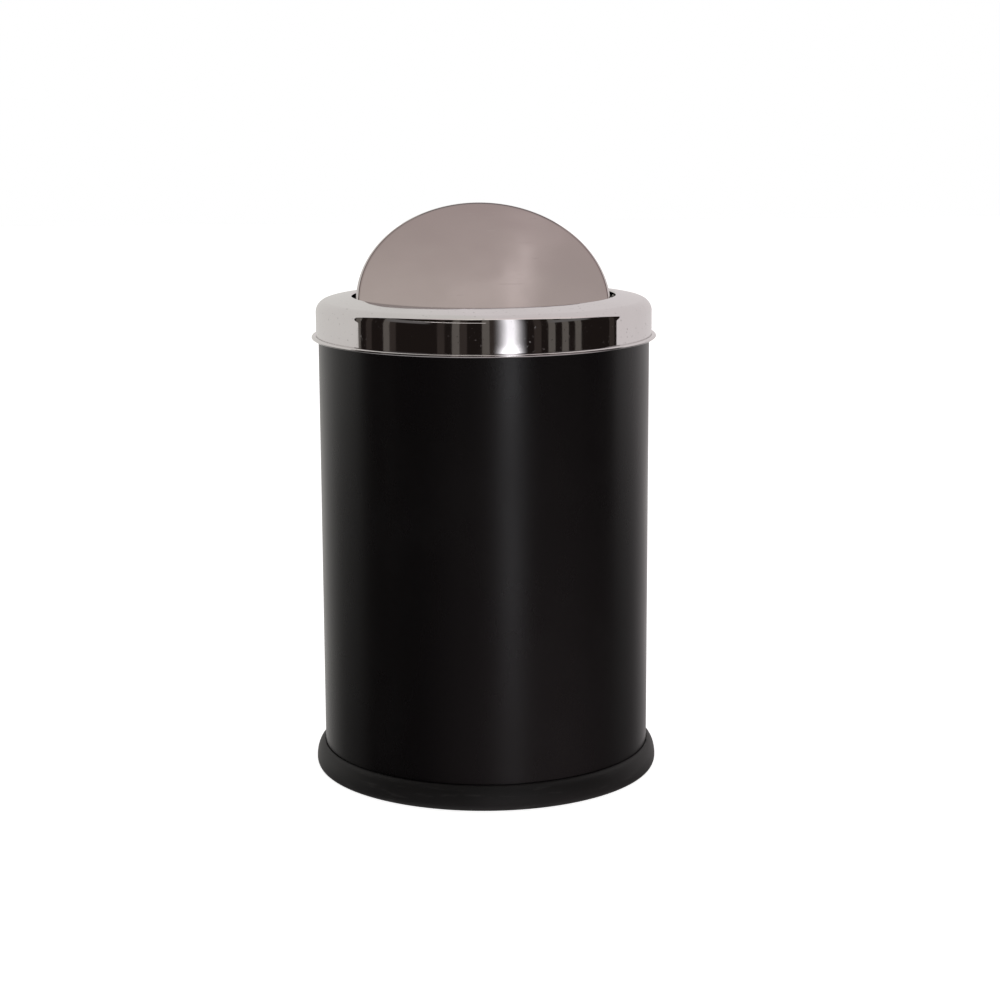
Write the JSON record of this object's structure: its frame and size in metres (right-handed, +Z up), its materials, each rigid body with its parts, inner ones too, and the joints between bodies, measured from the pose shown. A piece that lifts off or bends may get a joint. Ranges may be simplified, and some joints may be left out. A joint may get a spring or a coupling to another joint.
{
  "type": "litter bin",
  "caption": "Round litter bin: black shell on a moulded foot ring, polished collar with a round swing flap, lift-out inner pail with a bail handle.",
  "frame": {"origin": "centre of the foot ring's underside, on the floor", "axes": "+Z up along the shell's axis; +X to the right along the flap's pivot; -Y to the front, the side the open flap's polished face looks at"},
  "size_m": [0.2636, 0.2636, 0.4289],
  "materials": {
    "powder_black": "satin powder coat, slightly grained",
    "moulded_black": "matte moulded plastic",
    "collar_chrome": "mirror polish with fine circular polishing marks",
    "flap_steel": "polished stainless sheet with faint scratches",
    "galvanised": "galvanised sheet with spangle",
    "plain_steel": "zinc-plated steel",
    "nylon_natural": "uncoloured nylon, slightly waxy"
  },
  "bodies": {
    "bin": {"body_shell": "powder_black", "foot_ring": "moulded_black", "base_pan": "powder_black", "foot_screw_1": "plain_steel", "foot_screw_2": "plain_steel", "foot_screw_3": "plain_steel", "foot_screw_4": "plain_steel"},
    "lid": {"lid_collar": "collar_chrome", "pivot_bush_left": "nylon_natural", "pivot_bush_right": "nylon_natural"},
    "flap": {"flap_plate": "flap_steel", "pivot_rod": "plain_steel", "rod_saddle_left": "plain_steel", "rod_saddle_centre": "plain_steel", "rod_saddle_right": "plain_steel", "rod_cap_left": "plain_steel", "rod_cap_right": "plain_steel"},
    "liner": {"liner_wall": "galvanised", "liner_base": "galvanised", "bail_ear_left": "plain_steel", "bail_ear_right": "plain_steel", "ear_rivet_left_front": "plain_steel", "ear_rivet_left_back": "plain_steel", "ear_rivet_right_front": "plain_steel", "ear_rivet_right_back": "plain_steel"},
    "bail": {"bail_wire": "plain_steel"}
  },
  "joints": [
    {"name": "lid_lift", "type": "slide", "parent": "bin", "child": "lid", "axis": [0, 0, 1], "range_m": [0, 0.58]},
    {"name": "flap_swing", "type": "hinge", "parent": "lid", "child": "flap", "pos_m": [0, 0, 0.358], "axis": [1, 0, 0], "range_deg": [-136.3, 43.7]},
    {"name": "liner_lift", "type": "slide", "parent": "bin", "child": "liner", "axis": [0, 0, 1], "range_m": [0, 0.36]},
    {"name": "bail_swing", "type": "hinge", "parent": "liner", "child": "bail", "pos_m": [0, 0, 0.338], "axis": [1, 0, 0], "range_deg": [0, 90]}
  ],
  "couplings": [
    {"joint": "liner_lift", "follows": "lid_lift", "ratio": 0.62},
    {"joint": "bail_swing", "follows": "lid_lift", "rad_per_m": 2.7}
  ]
}
